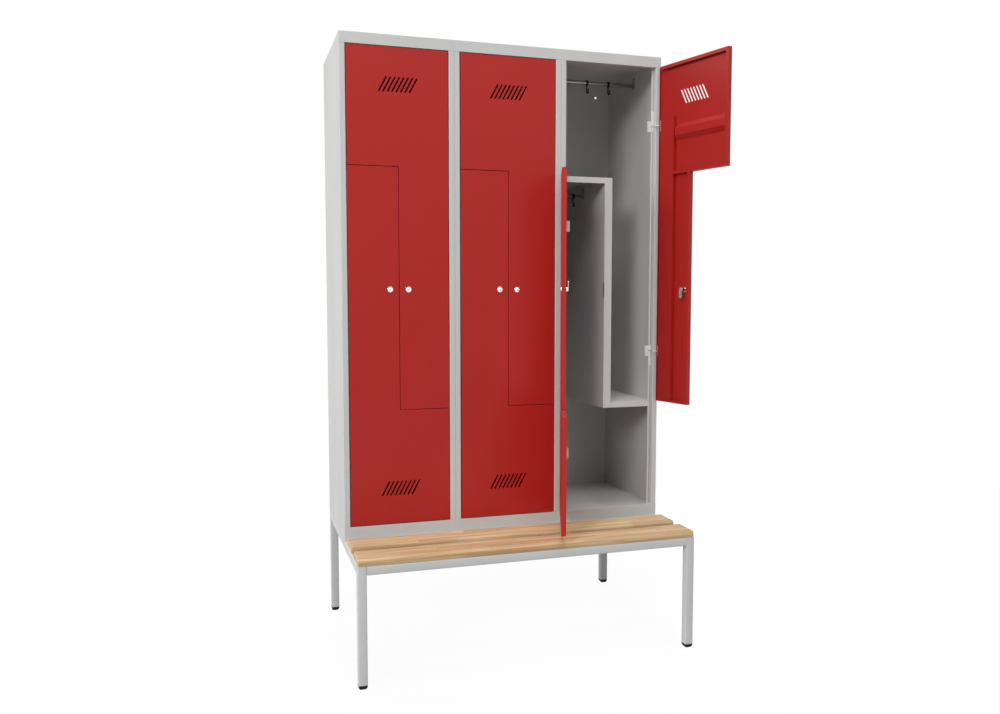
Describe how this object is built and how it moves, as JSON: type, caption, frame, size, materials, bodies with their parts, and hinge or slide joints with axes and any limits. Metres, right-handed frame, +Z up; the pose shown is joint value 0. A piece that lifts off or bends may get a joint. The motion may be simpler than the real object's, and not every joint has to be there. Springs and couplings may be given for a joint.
{
  "type": "z-locker with bench",
  "caption": "Sheet-steel Z-locker on a square-tube bench frame with beech seat slats; interlocking L-shaped doors close compartments with coat rails and sliding hooks.",
  "frame": {"origin": "floor level, centre of the bounding box in plan at rest, with the two doors of the right bay open", "axes": "+X to the right along the locker's width, +Y from the doors to the back, +Z up"},
  "size_m": [1.2906, 0.8314, 2.155],
  "materials": {
    "door_red": "satin powder coat",
    "carcass_grey": "satin powder coat",
    "frame_grey": "satin powder coat",
    "beech": "clear lacquer",
    "black_plastic": "moulded",
    "rail_steel": "drawn tube",
    "lock_chrome": "polished"
  },
  "bodies": {
    "carcass": {"back_panel": "carcass_grey", "base_tray": "carcass_grey", "bench_slats": "beech", "cross_rails": "frame_grey", "feet": "black_plastic", "front_rail": "frame_grey", "hinge_brackets": "carcass_grey", "legs": "frame_grey", "lower_rails": "rail_steel", "lower_shelves": "carcass_grey", "partition_1": "carcass_grey", "partition_2": "carcass_grey", "rail_plates": "carcass_grey", "side_left": "carcass_grey", "side_rails": "frame_grey", "side_right": "carcass_grey", "stiles": "carcass_grey", "top_cap": "carcass_grey", "upper_rails": "rail_steel", "upper_shelves": "carcass_grey", "uprights": "carcass_grey"},
    "door_1_upper": {"door_1_upper_pan": "door_red", "door_1_upper_stiffeners": "door_red", "door_1_upper_hinge_arms": "door_red", "door_1_upper_lock": "lock_chrome"},
    "door_1_upper_cam": {"door_1_upper_cam": "lock_chrome"},
    "door_1_lower": {"door_1_lower_pan": "door_red", "door_1_lower_stiffeners": "door_red", "door_1_lower_hinge_arms": "door_red", "door_1_lower_lock": "lock_chrome"},
    "door_1_lower_cam": {"door_1_lower_cam": "lock_chrome"},
    "hook_1_upper_1": {"hook_1_upper_1": "black_plastic"},
    "hook_1_upper_2": {"hook_1_upper_2": "black_plastic"},
    "hook_1_lower": {"hook_1_lower": "black_plastic"},
    "door_2_upper": {"door_2_upper_pan": "door_red", "door_2_upper_stiffeners": "door_red", "door_2_upper_hinge_arms": "door_red", "door_2_upper_lock": "lock_chrome"},
    "door_2_upper_cam": {"door_2_upper_cam": "lock_chrome"},
    "door_2_lower": {"door_2_lower_pan": "door_red", "door_2_lower_stiffeners": "door_red", "door_2_lower_hinge_arms": "door_red", "door_2_lower_lock": "lock_chrome"},
    "door_2_lower_cam": {"door_2_lower_cam": "lock_chrome"},
    "hook_2_upper_1": {"hook_2_upper_1": "black_plastic"},
    "hook_2_upper_2": {"hook_2_upper_2": "black_plastic"},
    "hook_2_lower": {"hook_2_lower": "black_plastic"},
    "door_3_upper": {"door_3_upper_pan": "door_red", "door_3_upper_stiffeners": "door_red", "door_3_upper_hinge_arms": "door_red", "door_3_upper_lock": "lock_chrome"},
    "door_3_upper_cam": {"door_3_upper_cam": "lock_chrome"},
    "door_3_lower": {"door_3_lower_pan": "door_red", "door_3_lower_stiffeners": "door_red", "door_3_lower_hinge_arms": "door_red", "door_3_lower_lock": "lock_chrome"},
    "door_3_lower_cam": {"door_3_lower_cam": "lock_chrome"},
    "hook_3_upper_1": {"hook_3_upper_1": "black_plastic"},
    "hook_3_upper_2": {"hook_3_upper_2": "black_plastic"},
    "hook_3_lower": {"hook_3_lower": "black_plastic"}
  },
  "joints": [
    {"name": "door_1_upper_hinge", "type": "hinge", "parent": "carcass", "child": "door_1_upper", "pos_m": [-0.25529, -0.05833, 1.286], "axis": [0, 0, 1], "range_deg": [0, 90]},
    {"name": "door_1_upper_lock", "type": "hinge", "parent": "door_1_upper", "child": "door_1_upper_cam", "pos_m": [-0.41279, -0.06433, 1.286], "axis": [0, 1, 0], "range_deg": [0, 90]},
    {"name": "door_1_lower_hinge", "type": "hinge", "parent": "carcass", "child": "door_1_lower", "pos_m": [-0.63529, -0.05833, 1.286], "axis": [0, 0, -1], "range_deg": [0, 110]},
    {"name": "door_1_lower_lock", "type": "hinge", "parent": "door_1_lower", "child": "door_1_lower_cam", "pos_m": [-0.47779, -0.06433, 1.286], "axis": [0, 1, 0], "range_deg": [0, 90]},
    {"name": "hook_1_upper_1_slide", "type": "slide", "parent": "carcass", "child": "hook_1_upper_1", "axis": [1, 0, 0], "range_m": [-0.16, 0.07]},
    {"name": "hook_1_upper_2_slide", "type": "slide", "parent": "carcass", "child": "hook_1_upper_2", "axis": [1, 0, 0], "range_m": [-0.07, 0.09]},
    {"name": "hook_1_lower_slide", "type": "slide", "parent": "carcass", "child": "hook_1_lower", "axis": [1, 0, 0], "range_m": [-0.12, 0.028]},
    {"name": "door_2_upper_hinge", "type": "hinge", "parent": "carcass", "child": "door_2_upper", "pos_m": [0.14471, -0.05833, 1.286], "axis": [0, 0, 1], "range_deg": [0, 68]},
    {"name": "door_2_upper_lock", "type": "hinge", "parent": "door_2_upper", "child": "door_2_upper_cam", "pos_m": [-0.01279, -0.06433, 1.286], "axis": [0, 1, 0], "range_deg": [0, 90]},
    {"name": "door_2_lower_hinge", "type": "hinge", "parent": "carcass", "child": "door_2_lower", "pos_m": [-0.23529, -0.05833, 1.286], "axis": [0, 0, -1], "range_deg": [0, 90]},
    {"name": "door_2_lower_lock", "type": "hinge", "parent": "door_2_lower", "child": "door_2_lower_cam", "pos_m": [-0.07779, -0.06433, 1.286], "axis": [0, 1, 0], "range_deg": [0, 90]},
    {"name": "hook_2_upper_1_slide", "type": "slide", "parent": "carcass", "child": "hook_2_upper_1", "axis": [1, 0, 0], "range_m": [-0.16, 0.07]},
    {"name": "hook_2_upper_2_slide", "type": "slide", "parent": "carcass", "child": "hook_2_upper_2", "axis": [1, 0, 0], "range_m": [-0.07, 0.09]},
    {"name": "hook_2_lower_slide", "type": "slide", "parent": "carcass", "child": "hook_2_lower", "axis": [1, 0, 0], "range_m": [-0.12, 0.028]},
    {"name": "door_3_upper_hinge", "type": "hinge", "parent": "carcass", "child": "door_3_upper", "pos_m": [0.54471, -0.05833, 1.286], "axis": [0, 0, 1], "range_deg": [-105, 5]},
    {"name": "door_3_upper_lock", "type": "hinge", "parent": "door_3_upper", "child": "door_3_upper_cam", "pos_m": [0.59127, -0.20891, 1.286], "axis": [-0.9659, -0.2588, 0], "range_deg": [0, 90]},
    {"name": "door_3_lower_hinge", "type": "hinge", "parent": "carcass", "child": "door_3_lower", "pos_m": [0.16471, -0.05833, 1.286], "axis": [0, 0, -1], "range_deg": [-110, 0]},
    {"name": "door_3_lower_lock", "type": "hinge", "parent": "door_3_lower", "child": "door_3_lower_cam", "pos_m": [0.10521, -0.20428, 1.286], "axis": [0.9397, -0.342, 0], "range_deg": [0, 90]},
    {"name": "hook_3_upper_1_slide", "type": "slide", "parent": "carcass", "child": "hook_3_upper_1", "axis": [1, 0, 0], "range_m": [-0.16, 0.07]},
    {"name": "hook_3_upper_2_slide", "type": "slide", "parent": "carcass", "child": "hook_3_upper_2", "axis": [1, 0, 0], "range_m": [-0.07, 0.09]},
    {"name": "hook_3_lower_slide", "type": "slide", "parent": "carcass", "child": "hook_3_lower", "axis": [1, 0, 0], "range_m": [-0.12, 0.028]}
  ]
}
